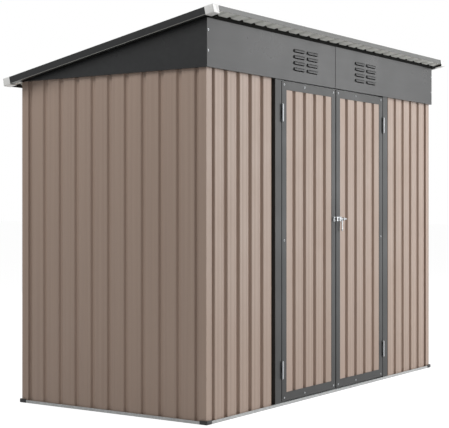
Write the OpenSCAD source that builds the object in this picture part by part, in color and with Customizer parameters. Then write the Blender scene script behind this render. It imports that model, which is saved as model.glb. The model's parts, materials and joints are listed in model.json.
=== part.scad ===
// Lean-to metal storage shed with a double door, a louvred front fascia and a corrugated roof.
// X runs to the right along the front, Y from front to rear, Z up from the ground.

/* [Walls] */
// Width over the side walls
shed_w = 2300; // [1900:100:2900]
// Depth over the front and rear walls
shed_d = 1100; // [900:100:1500]
// Height of the wall panels above the ground
wall_h = 1567; // [1450:1:1800]
// Thickness of the folded sheet
sheet_t = 1.2; // [0.8:0.1:1.6]
// Width of each flange of a corner post
post_w = 41; // [34:1:48]

/* [Pressed grooves and ribs] */
// Spacing of the wall grooves and roof ribs
groove_pitch = 100; // [90:1:120]
// Width of a wall groove at the face of the sheet
groove_w = 30; // [24:1:36]
// Width of the flat at the bottom of a wall groove
groove_floor = 6; // [4:1:10]
// Depth of a wall groove
groove_depth = 12; // [8:0.5:12.5]
// Width of a roof rib where it leaves the sheet
rib_w = 34; // [28:1:44]
// Width of the flat on top of a roof rib
rib_top = 12; // [8:1:16]
// Height of a roof rib
rib_h = 15; // [8:0.5:16]
// Least flat width between a groove and the edge of its sheet
edge_land = 30; // [20:1:34]

/* [Base] */
// Height of the base rail's outer lip
base_lip = 14; // [10:1:18]
// Height of the base rail's inner lip
base_upstand = 25; // [16:1:40]
// Distance of the base rail's outer face from the wall
base_out = 8; // [5:0.5:10]
// Distance of the base rail's inner face behind the wall's outer face
base_in = 30; // [26:1:40]
// Height of a corner foot
foot_h = 18; // [15:1:24]
// Distance a corner foot stands out past the base rail
foot_proud = 2; // [1:0.5:4]

/* [Fascia and gables] */
// Height of the fascia at the front wall
fascia_h = 226; // [200:1:260]
// Height of the gap above the rear wall that the gable closes
gable_rear_h = 7; // [6:0.5:30]
// Distance of the fascia and gable faces from the walls
fascia_out = 14; // [10:0.5:20]
// Width of the fascia and gable flanges behind the wall's outer face
fascia_in = 38; // [34:1:48]
// Distance the fascia sheets lap on each side of the middle
fascia_lap = 15; // [8:1:30]
// Width of the sloping flange under the roof
roof_flange = 26; // [18:1:32]
// Depth of the top rails inside the walls
top_rail_d = 30; // [20:1:40]
// Height of the top rails inside the walls
top_rail_h = 40; // [25:1:60]

/* [Vents] */
// Distance of each group of louvres from the middle of the front
vent_x = 316; // [250:1:380]
// Length of a louvre
louvre_l = 106; // [80:1:125]
// Gap between the two columns of louvres
louvre_gap = 22; // [14:1:40]
// Spacing of the louvre rows
louvre_pitch = 30; // [26:0.5:34]
// Height of a louvre hood
louvre_h = 14; // [10:0.5:18]
// Distance a louvre hood stands out
louvre_out = 7; // [4:0.5:10]
// Height of the slot that shows below a louvre hood
louvre_slot = 4; // [2:0.5:6]
// Rows of louvres in a group
louvre_rows = 4; // [2:1:5]
// Height of the lowest row's lower edge above the wall panels
louvre_z = 55; // [40:1:65]

/* [Roof] */
// Distance the roof reaches past the front and rear walls
eaves = 76; // [60:1:110]
// Distance the roof reaches past the side walls
verge = 57; // [45:1:90]
// Height of the edge trim above the underside of the roof sheet
trim_up = 22; // [20:0.5:28]
// Depth of the side and rear trim below the roof sheet
trim_down = 13; // [8:0.5:16]
// Width of the trim's flange on the roof
trim_flange = 35; // [28:1:44]
// Width of the trim's flange under the roof
trim_lip = 20; // [12:1:30]
// Length of each arm of a roof corner cap
cap_l = 45; // [40:1:60]
// Wall of a roof corner cap
cap_t = 2; // [1.5:0.5:3]
// Distance a corner cap reaches below the trim
cap_drop = 3; // [1:0.5:6]
// Number of the rib, counted from the middle, where the roof sheets lap
lap_rib = 1; // [-2:1:2]
// Height of a roof beam
beam_h = 40; // [25:1:50]
// Width of a roof beam
beam_w = 28; // [20:1:40]

/* [Doors] */
// Clear width between the door jambs
door_w = 1072; // [900:4:1200]
// Width of a jamb's face
jamb_w = 56; // [50:1:70]
// Distance from a jamb to the groove that the wall sheet ends in
jamb_tuck = 8; // [5:1:14]
// Distance the jambs and door leaves stand out from the wall
door_proud = 8; // [5:0.5:10]
// Thickness of a door leaf
leaf_t = 16; // [15.5:0.5:18]
// Face width of the leaf frame's stiles and rails
leaf_frame_w = 41; // [34:1:50]
// Gap between a leaf and its jamb
hinge_gap = 6; // [6:0.5:9]
// Gap between the two leaves
meeting_gap = 9; // [5:0.5:12]
// Gap above and below a leaf
leaf_gap = 6; // [5:0.5:10]
// Grooves in a leaf's panel
leaf_grooves = 4; // [2:1:4]
// Clearance between a leaf's panel and the back of its frame
panel_clear = 0.6; // [0.3:0.1:1]

/* [Hinges] */
// Length of a hinge
hinge_l = 82; // [60:2:110]
// Radius of the hinge knuckles
knuckle_r = 5; // [4.6:0.1:6]
// Radius of the hinge pin
pin_r = 2.5; // [1.5:0.1:3]
// Radial clearance of a hinge pin
pin_clear = 0.1; // [0.05:0.01:0.2]
// End gap between two knuckles
knuckle_gap = 1; // [0.5:0.1:2]
// Thickness of a hinge leaf
hinge_t = 2; // [1.2:0.1:2.5]
// Height of the lower hinge's middle
hinge_low_z = 172; // [120:1:300]
// Distance of the upper hinge's middle below the top of the walls
hinge_drop = 159; // [120:1:300]

/* [Bolt] */
// Height of the bolt
bolt_z = 893; // [700:1:1100]
// Radius of the bolt rod
bolt_r = 5; // [4:0.5:6]
// Travel of the bolt
bolt_travel = 26; // [20:1:28]
// Clearance of the rod in its guides
bolt_clear = 0.4; // [0.3:0.1:0.8]
// Height of the rod's middle above the leaf's face
bolt_stand = 12; // [11:0.5:14]
// Thickness of the bolt's plates
bolt_plate_t = 2; // [1.5:0.5:3]
// Height of the bolt's plates
bolt_plate_h = 22; // [20:1:40]
// Length of the plate under the guides
bolt_plate_l = 54; // [52:1:64]
// Width of a strap guide
strap_w = 6; // [5:1:8]
// Thickness of the strap guides
strap_t = 2; // [1.5:0.5:3]
// Clearance of the rod in the keeper
keeper_clear = 1; // [0.6:0.1:1.5]
// Width of the hanging handle
handle_w = 10; // [8:1:11]
// Thickness of the hanging handle
handle_t = 4; // [3:0.5:6]
// Length of the handle below the rod
handle_l = 58; // [40:1:80]
// Distance of the bolt's plates from the leaf's edge
bolt_inset = 3; // [2:0.5:5]

/* [Hidden] */
$fn = 48;

brown_paint = [0.70, 0.62, 0.57];
anthracite_paint = [0.31, 0.31, 0.31];
galvanised = [0.76, 0.77, 0.78];
black_plastic = [0.09, 0.09, 0.09];
white_plastic = [0.90, 0.90, 0.89];
zinc = [0.80, 0.81, 0.83];

half_w = shed_w / 2;
half_d = shed_d / 2;
// Overlap that makes a cut run clear through a face
cut = 1;

// Roof plane: the underside of the roof sheet's flats falls from front to rear.
slope = atan((fascia_h - gable_rear_h) / shed_d);
function roof_z(y) = wall_h + fascia_h - (y + half_d) * tan(slope);
roof_half_w = half_w + verge;
roof_length = (shed_d + 2 * eaves) / cos(slope);
cap_top = trim_up + cap_t;
cap_bottom = -trim_down - cap_drop;
roof_front_y = -(roof_length * cos(slope) + (cap_top + cap_bottom) * sin(slope)) / 2;

// Door layout, measured from the middle of the front
jamb_in = door_w / 2;
jamb_out = jamb_in + jamb_w;
leaf_far = jamb_in - hinge_gap;
leaf_near = meeting_gap / 2;
leaf_w = leaf_far - leaf_near;
leaf_front = -half_d - door_proud;
leaf_back = leaf_front + leaf_t;
leaf_bottom = base_lip + leaf_gap;
leaf_top = wall_h - leaf_gap;
hinge_x = jamb_in - hinge_gap / 2;
hinge_y = leaf_front - knuckle_r - knuckle_gap;
hinge_high_z = wall_h - hinge_drop;
wall_back = -half_d + groove_depth + sheet_t;
bolt_y = leaf_front - bolt_stand;

// Places of pressings at whole pitches either side of zero that fit on a half width
function places(half, w) =
    let (n = floor((half - w / 2 - edge_land) / groove_pitch))
    [for (i = [-n : n]) i * groove_pitch];

// Depth of a row of pressings at s: floor width f, width w at the face, depth d
function pressing(s, at, w, f, d) =
    max([0, for (c = at) let (o = abs(s - c))
        o <= f / 2 ? d : o >= w / 2 ? 0 : d * (w / 2 - o) / (w / 2 - f / 2)]);
function bends(a, b, at, w, f) =
    [for (c = at) for (s = [c - w / 2, c - f / 2, c + f / 2, c + w / 2]) if (s > a && s < b) s];
function pressed_line(a, b, at, w, f, d) =
    [for (s = concat([a], bends(a, b, at, w, f), [b])) [s, pressing(s, at, w, f, d)]];
function flip(line) = [for (i = [len(line) - 1 : -1 : 0]) line[i]];
function raise(line, h) = [for (p = line) [p[0], p[1] + h]];
// Widening that keeps the sheet equally thick round a bend
function bend_shift(w, f, d) = sheet_t * tan(atan2(d, (w - f) / 2) / 2);

module corrugated(a, b, at, w, f, d) {
    k = 2 * bend_shift(w, f, d);
    far_side = raise(pressed_line(a, b, at, w + k, f + k, d), sheet_t);
    polygon(concat(pressed_line(a, b, at, w, f, d), flip(far_side)));
}

// Extrude an outline drawn in Y and Z from x0 to x1, or one drawn in X and Z from y0 to y1
module along_x(x0, x1) {
    translate([x0, 0, 0]) rotate([90, 0, 90]) linear_extrude(x1 - x0) children();
}
module along_y(y0, y1) {
    translate([0, y1, 0]) rotate([90, 0, 0]) linear_extrude(y1 - y0) children();
}
module box(lo, hi) {
    translate(lo) cube(hi - lo);
}
module right_side() {
    mirror([1, 0, 0]) children();
}
module rear_side() {
    mirror([0, 1, 0]) children();
}
module on_roof() {
    translate([0, roof_front_y, roof_z(roof_front_y)]) rotate([-slope, 0, 0]) children();
}

// Channel open upwards; x is the distance inwards from the wall's outer face
module base_section() {
    difference() {
        translate([-base_out, 0]) square([base_out + base_in, base_upstand]);
        translate([-base_out + sheet_t, sheet_t]) square([base_out + base_in - 2 * sheet_t, base_upstand]);
        translate([-base_out - cut, base_lip]) square([base_out + base_in - sheet_t + cut, base_upstand]);
    }
}
module base_front() {
    color(galvanised) along_x(-half_w + base_in, half_w - base_in)
        translate([-half_d, 0]) base_section();
}
module base_rail_front() { base_front(); }
module base_rail_rear() { rear_side() base_front(); }
module base_rail_left() {
    color(galvanised) along_y(-half_d + base_in, half_d - base_in)
        translate([-half_w, 0]) base_section();
}
module base_rail_right() { right_side() base_rail_left(); }

module corner_foot() {
    reach = base_out + foot_proud;
    corner = [-half_w - reach, -half_d - reach, 0];
    inner = [-half_w + base_in, -half_d + base_in, foot_h];
    seat = [-half_w - 2 * sheet_t, -half_d - 2 * sheet_t, sheet_t];
    difference() {
        box(corner, inner);
        box(seat, inner + [cut, cut, cut]);
    }
}
module corner_feet() {
    color(black_plastic) for (mx = [0, 1], my = [0, 1])
        mirror([mx, 0, 0]) mirror([0, my, 0]) corner_foot();
}

module corner_post() {
    color(brown_paint) translate([-half_w - sheet_t, -half_d - sheet_t, sheet_t])
        linear_extrude(wall_h - sheet_t) difference() {
            square(post_w);
            translate([sheet_t, sheet_t]) square(post_w);
        }
}
module corner_post_front_left() { corner_post(); }
module corner_post_front_right() { right_side() corner_post(); }
module corner_post_rear_left() { rear_side() corner_post(); }
module corner_post_rear_right() { right_side() rear_side() corner_post(); }

module wall_section(a, b, at) {
    corrugated(a, b, at, groove_w, groove_floor, groove_depth);
}
module wall_sheet() {
    color(brown_paint) translate([0, 0, sheet_t]) linear_extrude(wall_h - sheet_t) children();
}
module wall_left() {
    mirror([1, -1, 0]) translate([0, -half_w, 0])
        wall_sheet() wall_section(-half_d, half_d, places(half_d, groove_w));
}
module wall_right() { right_side() wall_left(); }
module wall_rear() {
    end = half_w - sheet_t;
    rear_side() translate([0, -half_d, 0])
        wall_sheet() wall_section(-end, end, places(half_w, groove_w));
}
// The sheet beside the door ends in the floor of a groove, against the jamb
module wall_front_left() {
    last = -jamb_out - jamb_tuck;
    others = [for (c = places(half_w, groove_w)) if (c < last - groove_pitch / 2) c];
    translate([0, -half_d, 0]) wall_sheet() {
        wall_section(-half_w + sheet_t, last, concat(others, [last]));
        translate([last, groove_depth]) square([jamb_tuck, sheet_t]);
    }
}
module wall_front_right() { right_side() wall_front_left(); }

// Channel that opens inwards; its inner side carries the hinges
module door_jamb_left() {
    color(anthracite_paint) translate([-jamb_out, leaf_front, base_lip])
        linear_extrude(wall_h - base_lip) difference() {
            square([jamb_w, wall_back - leaf_front]);
            translate([sheet_t, sheet_t]) square([jamb_w - 2 * sheet_t, wall_back - leaf_front]);
        }
}
module door_jamb_right() { right_side() door_jamb_left(); }

// Channel open downwards behind the top of a wall
module top_rail_section() {
    translate([0, wall_h - top_rail_h]) difference() {
        square([top_rail_d, top_rail_h]);
        translate([sheet_t, -cut]) square([top_rail_d - 2 * sheet_t, top_rail_h - sheet_t + cut]);
    }
}
module top_rail_front() {
    end = half_w - groove_depth - sheet_t;
    color(galvanised) along_x(-end, end) translate([wall_back, 0]) top_rail_section();
}
module top_rail_rear() { rear_side() top_rail_front(); }
module top_rail_left() {
    end = -wall_back - top_rail_d;
    color(galvanised) along_y(-end, end)
        translate([-half_w + groove_depth + sheet_t, 0]) top_rail_section();
}
module top_rail_right() { right_side() top_rail_left(); }

// Strip under the roof plane from y0 to y1
module under_roof(y0, y1) {
    drop = sheet_t / cos(slope);
    polygon([
        [y0, roof_z(y0)], [y1, roof_z(y1)], [y1, roof_z(y1) - drop], [y0, roof_z(y0) - drop]
    ]);
}
// Folded sheet seen from its end: an upright face, a level flange on the wall and a sloping
// flange under the roof
module fascia_face(face, inward) {
    back = face + inward * sheet_t;
    polygon([[face, wall_h], [back, wall_h], [back, roof_z(back)], [face, roof_z(face)]]);
}
module fascia_flanges(face, inward) {
    wall_edge = face + inward * (fascia_out + fascia_in);
    roof_edge = face + inward * roof_flange;
    translate([min(face, wall_edge), wall_h]) square([fascia_out + fascia_in, sheet_t]);
    under_roof(min(face, roof_edge), max(face, roof_edge));
}

// Quarter of an ellipse from the top of a louvre hood to its outer lip
function hood_arc(out, h) = [for (a = [0 : 15 : 90]) [-out * sin(a), h * cos(a)]];
// Hood drawn along its length, with each end turned round; below lets a cut run out downwards
module louvre_form(out, h, l, below) {
    middle = l / 2 - out;
    section = concat([[0, -below]], hood_arc(out, h), below > 0 ? [[-out, -below]] : []);
    along_x(-middle, middle) polygon(section);
    for (side = [-1, 1]) translate([side * middle, 0, 0]) rotate([0, 0, 180])
        rotate_extrude(angle = 180) polygon([for (p = section) [-p[0], p[1]]]);
}
// Pressed hood that springs from the sheet and opens downwards
module louvre_hood() {
    louvre_form(louvre_out, louvre_h, louvre_l, 0);
}
// Space under a hood, with the slot through the sheet behind it
module louvre_mouth() {
    half_slot = louvre_l / 2 - louvre_out;
    louvre_form(louvre_out - sheet_t, louvre_h - sheet_t, louvre_l - 2 * sheet_t, cut);
    box(
        [-half_slot, -sheet_t / 2, -louvre_slot],
        [half_slot, sheet_t + cut, louvre_h - 2 * sheet_t]
    );
}
module each_louvre() {
    for (row = [0 : louvre_rows - 1], side = [-1, 1])
        translate([
            -vent_x + side * (louvre_l + louvre_gap) / 2,
            -half_d - fascia_out,
            wall_h + louvre_z + row * louvre_pitch
        ]) children();
}
module fascia_left() {
    color(anthracite_paint) difference() {
        union() {
            along_x(-half_w - fascia_out, 0) fascia_face(-half_d - fascia_out, 1);
            along_x(-half_w - fascia_out + sheet_t, 0) fascia_flanges(-half_d - fascia_out, 1);
            each_louvre() louvre_hood();
        }
        each_louvre() louvre_mouth();
    }
}
// The right sheet's edge laps over the left one at the middle
module fascia_right() {
    face = -half_d - fascia_out;
    color(anthracite_paint) union() {
        right_side() fascia_left();
        box([-fascia_lap, face - sheet_t, wall_h], [fascia_lap, face, roof_z(face)]);
    }
}
module rear_fascia() {
    end = half_w + fascia_out - sheet_t;
    color(anthracite_paint) along_x(-end, end) {
        fascia_face(half_d + fascia_out, -1);
        fascia_flanges(half_d + fascia_out, -1);
    }
}

module gable_left() {
    face = -half_w - fascia_out;
    front = -half_d - fascia_out + sheet_t;
    rear = half_d + fascia_out;
    flange_end = half_d - fascia_in;
    roof_end = rear - roof_flange;
    color(anthracite_paint) union() {
        along_x(face, face + sheet_t) polygon([
            [front, wall_h], [rear, wall_h], [rear, roof_z(rear)], [front, roof_z(front)]
        ]);
        box([face, -flange_end, wall_h], [-half_w + fascia_in, flange_end, wall_h + sheet_t]);
        along_x(face, face + roof_flange) under_roof(-roof_end, roof_end);
    }
}
module gable_right() { right_side() gable_left(); }

module roof_beam(y) {
    end = half_w + fascia_out - roof_flange;
    inner = beam_w / 2 - sheet_t;
    low = roof_z(y) - beam_h;
    along_x(-end, end) difference() {
        polygon([
            [y - beam_w / 2, low], [y + beam_w / 2, low],
            [y + beam_w / 2, roof_z(y + beam_w / 2)], [y - beam_w / 2, roof_z(y - beam_w / 2)]
        ]);
        polygon([
            [y - inner, low - cut], [y + inner, low - cut],
            [y + inner, roof_z(y + inner) - sheet_t / cos(slope)],
            [y - inner, roof_z(y - inner) - sheet_t / cos(slope)]
        ]);
    }
}
module roof_beams() {
    color(galvanised) for (side = [-1, 1]) roof_beam(side * shed_d / 6);
}

// Roof sheets: x across the roof, y above the underside of the flats
roof_edge = roof_half_w - cap_t - sheet_t;
roof_start = cap_t + sheet_t;
rib_places = places(roof_half_w, rib_w);
lap_x = lap_rib * groove_pitch;
rib_shift = bend_shift(rib_w, rib_top, rib_h);
module roof_run() {
    on_roof() along_y(roof_start, roof_length - roof_start) children();
}
module roof_sheet_left() {
    color(anthracite_paint) roof_run()
        corrugated(-roof_edge, lap_x + rib_top / 2 + rib_shift, rib_places, rib_w, rib_top, rib_h);
}
// The right sheet's first rib lies over the left sheet's last one
module roof_sheet_right() {
    others = [for (c = rib_places) if (c > lap_x) c];
    lap_start = lap_x - rib_w / 2 - edge_land / 2;
    lap_end = lap_x + rib_w / 2 + rib_shift;
    k = 2 * rib_shift;
    color(anthracite_paint) roof_run() polygon(concat(
        [
            [lap_start, sheet_t],
            [lap_x - rib_w / 2 - rib_shift, sheet_t],
            [lap_x - rib_top / 2 - rib_shift, rib_h + sheet_t],
            [lap_x + rib_top / 2 + rib_shift, rib_h + sheet_t]
        ],
        pressed_line(lap_end, roof_edge, others, rib_w, rib_top, rib_h),
        flip(raise(pressed_line(lap_end + rib_shift, roof_edge, others, rib_w + k, rib_top + k, rib_h), sheet_t)),
        [
            [lap_x + rib_top / 2 + k, rib_h + 2 * sheet_t],
            [lap_x - rib_top / 2 - k, rib_h + 2 * sheet_t],
            [lap_x - rib_w / 2 - k, 2 * sheet_t],
            [lap_start, 2 * sheet_t]
        ]
    ));
}

// Trim sections, with x the distance inwards from the trim's outer face
module trim_section(down, lip) {
    translate([0, -down]) square([sheet_t, trim_up + down]);
    translate([0, trim_up - sheet_t]) square([trim_flange, sheet_t]);
    translate([0, -down]) square([lip, sheet_t]);
}
module roof_trim_left() {
    color(anthracite_paint) on_roof() along_y(cap_t, roof_length - cap_t)
        translate([cap_t - roof_half_w, 0]) trim_section(trim_down, trim_lip);
}
module roof_trim_right() { right_side() roof_trim_left(); }
trim_end = roof_half_w - cap_t - trim_flange;
module roof_trim_front() {
    color(anthracite_paint) on_roof() along_x(-trim_end, trim_end)
        translate([cap_t, 0]) trim_section(sheet_t, sheet_t);
}
module roof_trim_rear() {
    color(anthracite_paint) on_roof() translate([0, roof_length, 0]) rear_side()
        along_x(-trim_end, trim_end) translate([cap_t, 0]) trim_section(trim_down, sheet_t);
}

module roof_corner_cap() {
    lo = [-roof_half_w, 0, cap_bottom];
    hi = [-roof_half_w + cap_l, cap_l, cap_top];
    difference() {
        box(lo, hi);
        box(lo + [cap_t, cap_t, -cut], hi + [cut, cut, -cap_t]);
    }
}
module roof_corner_caps() {
    color(white_plastic) on_roof() for (mx = [0, 1], rear = [0, 1])
        mirror([mx, 0, 0]) translate([0, rear * roof_length, 0]) mirror([0, rear, 0]) roof_corner_cap();
}

// Hinges: three knuckles, the outer two and the pin on the jamb, the middle one on the leaf
knuckle_l = (hinge_l - 2 * knuckle_gap) / 3;
knuckle_root = hinge_y + pin_r + pin_clear + hinge_t / 4;
module hinge_plate(x, z0, z1, front) {
    box([x, front, z0], [x + hinge_t, leaf_back - 2 * sheet_t, z1]);
}
module at_hinges() {
    for (z = [hinge_low_z, hinge_high_z]) translate([0, 0, z - hinge_l / 2]) children();
}
module jamb_hinges_left() {
    color(zinc) at_hinges() union() {
        hinge_plate(-jamb_in, 0, hinge_l, leaf_front);
        for (z = [0, hinge_l - knuckle_l]) {
            hinge_plate(-jamb_in, z, z + knuckle_l, knuckle_root);
            translate([-hinge_x, hinge_y, z]) cylinder(r = knuckle_r, h = knuckle_l);
        }
        translate([-hinge_x, hinge_y, 0]) cylinder(r = pin_r, h = hinge_l);
    }
}
module jamb_hinges_right() { right_side() jamb_hinges_left(); }
module door_left_hinges() {
    middle = knuckle_l + knuckle_gap;
    color(zinc) at_hinges() difference() {
        union() {
            hinge_plate(-leaf_far - hinge_t, 0, hinge_l, leaf_front);
            hinge_plate(-leaf_far - hinge_t, middle, middle + knuckle_l, knuckle_root);
            translate([-hinge_x, hinge_y, middle]) cylinder(r = knuckle_r, h = knuckle_l);
        }
        translate([-hinge_x, hinge_y, -cut]) cylinder(r = pin_r + pin_clear, h = hinge_l + 2 * cut);
    }
}
module door_right_hinges() { right_side() door_left_hinges(); }

// Channel of the leaf frame, open towards the panel; x is the distance from the leaf's edge
module leaf_channel() {
    difference() {
        square([leaf_frame_w, leaf_t]);
        translate([sheet_t, sheet_t]) square([leaf_frame_w, leaf_t - 2 * sheet_t]);
    }
}
module door_left_hinge_stile() {
    color(anthracite_paint) translate([-leaf_far, leaf_front, leaf_bottom])
        linear_extrude(leaf_top - leaf_bottom) leaf_channel();
}
module door_left_meeting_stile() {
    color(anthracite_paint) translate([-leaf_near, leaf_front, leaf_bottom])
        linear_extrude(leaf_top - leaf_bottom) mirror([1, 0]) leaf_channel();
}
module leaf_rail() {
    along_x(-leaf_far + leaf_frame_w, -leaf_near - leaf_frame_w) mirror([1, -1]) leaf_channel();
}
module door_left_bottom_rail() {
    color(anthracite_paint) translate([0, leaf_front, leaf_bottom]) leaf_rail();
}
module door_left_top_rail() {
    color(anthracite_paint) translate([0, leaf_front, leaf_top]) mirror([0, 0, 1]) leaf_rail();
}
module door_left_panel() {
    middle = -(leaf_far + leaf_near) / 2;
    first = middle - (leaf_grooves - 1) / 2 * groove_pitch;
    at = [for (i = [0 : leaf_grooves - 1]) first + i * groove_pitch];
    depth = leaf_t - 3 * sheet_t - panel_clear;
    color(brown_paint) translate([0, leaf_front + sheet_t, leaf_bottom + sheet_t])
        linear_extrude(leaf_top - leaf_bottom - 2 * sheet_t)
            corrugated(-leaf_far + sheet_t, -leaf_near - sheet_t, at, groove_w, groove_floor, depth);
}
module door_right_hinge_stile() { right_side() door_left_hinge_stile(); }
module door_right_meeting_stile() { right_side() door_left_meeting_stile(); }
module door_right_bottom_rail() { right_side() door_left_bottom_rail(); }
module door_right_top_rail() { right_side() door_left_top_rail(); }
module door_right_panel() { right_side() door_left_panel(); }

// Slide bolt: strap guides on the right leaf, a wider strap as keeper on the left leaf
plate_x = leaf_near + bolt_inset;
module bolt_plate(x0, x1) {
    box(
        [x0, leaf_front - bolt_plate_t, bolt_z - bolt_plate_h / 2],
        [x1, leaf_front, bolt_z + bolt_plate_h / 2]
    );
}
// Strap bent over the rod, with room round it
module bolt_strap(x0, x1, room) {
    inner = bolt_r + room;
    outer = inner + strap_t;
    difference() {
        box([x0, bolt_y - outer, bolt_z - outer], [x1, leaf_front - bolt_plate_t, bolt_z + outer]);
        box([x0 - cut, bolt_y - inner, bolt_z - inner], [x1 + cut, leaf_front, bolt_z + inner]);
    }
}
module bolt_housing() {
    end = plate_x + bolt_plate_l;
    color(zinc) union() {
        bolt_plate(plate_x, end);
        bolt_strap(plate_x, plate_x + strap_w, bolt_clear);
        bolt_strap(end - strap_w, end, bolt_clear);
    }
}
module bolt_keeper() {
    near = -plate_x - strap_w / 2;
    color(zinc) union() {
        bolt_plate(near - 2 * strap_w - strap_w / 2, -plate_x);
        bolt_strap(near - 2 * strap_w, near, keeper_clear);
    }
}
module bolt_rod() {
    rod_start = leaf_near + bolt_inset / 2;
    rod_end = plate_x + bolt_plate_l + bolt_travel + bolt_inset / 2;
    handle_x = plate_x + bolt_plate_l - strap_w - bolt_inset - handle_w / 2;
    color(zinc) union() {
        translate([rod_start, bolt_y, bolt_z]) rotate([0, 90, 0])
            cylinder(r = bolt_r, h = rod_end - rod_start);
        translate([handle_x, bolt_y - handle_t / 2, bolt_z - handle_l]) {
            translate([-handle_w / 2, 0, 0]) cube([handle_w, handle_t, handle_l]);
            rotate([-90, 0, 0]) cylinder(d = handle_w, h = handle_t);
        }
    }
}

base_rail_front();
base_rail_rear();
base_rail_left();
base_rail_right();
corner_feet();
corner_post_front_left();
corner_post_front_right();
corner_post_rear_left();
corner_post_rear_right();
wall_left();
wall_right();
wall_rear();
wall_front_left();
wall_front_right();
door_jamb_left();
door_jamb_right();
top_rail_front();
top_rail_rear();
top_rail_left();
top_rail_right();
gable_left();
gable_right();
fascia_left();
fascia_right();
rear_fascia();
roof_beams();
roof_sheet_left();
roof_sheet_right();
roof_trim_front();
roof_trim_rear();
roof_trim_left();
roof_trim_right();
roof_corner_caps();
jamb_hinges_left();
jamb_hinges_right();
door_left_hinge_stile();
door_left_meeting_stile();
door_left_top_rail();
door_left_bottom_rail();
door_left_panel();
door_left_hinges();
door_right_hinge_stile();
door_right_meeting_stile();
door_right_top_rail();
door_right_bottom_rail();
door_right_panel();
door_right_hinges();
bolt_keeper();
bolt_housing();
bolt_rod();
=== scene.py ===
# %% [markdown]
# A metal storage shed, dressed for the camera
#
# The pieces of the shed come from a imported model: sheets, rails, hinges and the bolt, each at
# its real size. They could be drawn again by hand, but then they would drift from the real
# sizes, so they are loaded and kept as a fixed frame.

# %% Load the shed
import json
import math

import bmesh
import bpy
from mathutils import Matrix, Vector

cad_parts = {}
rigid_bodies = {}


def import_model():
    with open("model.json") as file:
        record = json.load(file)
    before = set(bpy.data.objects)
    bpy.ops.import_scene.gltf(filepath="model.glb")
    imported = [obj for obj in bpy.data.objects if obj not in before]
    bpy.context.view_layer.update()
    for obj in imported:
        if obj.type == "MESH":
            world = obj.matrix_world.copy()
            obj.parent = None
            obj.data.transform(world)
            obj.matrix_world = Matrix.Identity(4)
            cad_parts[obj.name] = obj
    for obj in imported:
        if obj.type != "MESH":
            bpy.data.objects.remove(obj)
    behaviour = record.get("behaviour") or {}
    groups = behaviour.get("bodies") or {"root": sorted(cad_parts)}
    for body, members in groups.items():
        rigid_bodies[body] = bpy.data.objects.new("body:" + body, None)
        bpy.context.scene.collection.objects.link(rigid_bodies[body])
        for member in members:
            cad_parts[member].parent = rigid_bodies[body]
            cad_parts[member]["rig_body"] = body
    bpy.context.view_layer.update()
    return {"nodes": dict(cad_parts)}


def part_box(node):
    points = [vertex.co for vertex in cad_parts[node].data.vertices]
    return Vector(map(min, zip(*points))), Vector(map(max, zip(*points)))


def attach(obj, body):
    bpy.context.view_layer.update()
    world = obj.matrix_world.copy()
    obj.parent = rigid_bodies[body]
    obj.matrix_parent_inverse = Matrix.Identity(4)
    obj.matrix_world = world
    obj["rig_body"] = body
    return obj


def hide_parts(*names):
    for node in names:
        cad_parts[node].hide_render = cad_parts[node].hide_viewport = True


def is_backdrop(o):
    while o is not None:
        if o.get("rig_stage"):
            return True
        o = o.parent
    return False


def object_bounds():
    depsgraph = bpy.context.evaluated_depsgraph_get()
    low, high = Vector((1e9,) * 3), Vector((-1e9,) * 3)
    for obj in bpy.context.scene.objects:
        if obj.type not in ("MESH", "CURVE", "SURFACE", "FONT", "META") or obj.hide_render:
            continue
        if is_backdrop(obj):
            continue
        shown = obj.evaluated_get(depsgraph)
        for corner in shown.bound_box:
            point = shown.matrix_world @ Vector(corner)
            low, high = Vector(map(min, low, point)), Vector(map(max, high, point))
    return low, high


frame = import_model()

# %% [markdown]
# Camera
#
# The picture was taken from beside the left front corner, level and with a long lens: upright
# edges stay upright in it. A level camera keeps that, and a small shift moves the horizon
# instead of a tilt, which would make the posts lean.

# %% Camera
QUARTER_TURN = math.radians(90)
SENSOR_MM = 36
LENS_MM = 95.74
HORIZON_SHIFT = -0.0127
FARTHEST_SEEN = 200
CAMERA_PLACE = (-5.421, -3.561, 0.9485)
CAMERA_HEADING = math.radians(-55.69)

camera_data = bpy.data.cameras.new("camera")
camera_data.sensor_width = SENSOR_MM
camera_data.lens = LENS_MM
camera_data.shift_y = HORIZON_SHIFT
camera_data.clip_end = FARTHEST_SEEN
camera = bpy.data.objects.new("camera", camera_data)
camera.location = CAMERA_PLACE
camera.rotation_euler = (QUARTER_TURN, 0, CAMERA_HEADING)
bpy.context.scene.collection.objects.link(camera)
bpy.context.scene.camera = camera
bpy.context.scene.view_settings.view_transform = "Standard"
print("camera heading", round(math.degrees(CAMERA_HEADING), 2))

# %% [markdown]
# Light
#
# A product studio lights such a shed with large softboxes at the right of the front. The low one
# stands where the front mirrors it towards the camera, so the painted sheets get their pale
# sheen there. The high one gives plain light, which keeps the colour of the paint. A weak lamp
# high on the left lights the flats of the left side and leaves what faces the camera, the
# grooves' flanks, dark. One behind serves views from the back. A sun lamp would be simpler, but
# it gives hard shadows and no broad sheen.

# %% Softboxes


def softbox(name, place, aim, width, height, power):
    """Rectangular area lamp at a place, turned towards a point."""
    lamp = bpy.data.lights.new(name, "AREA")
    lamp.shape = "RECTANGLE"
    lamp.size = width
    lamp.size_y = height
    lamp.energy = power
    holder = bpy.data.objects.new(name, lamp)
    holder.location = place
    holder.rotation_euler = (Vector(aim) - Vector(place)).to_track_quat("-Z", "Y").to_euler()
    bpy.context.scene.collection.objects.link(holder)


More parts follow.
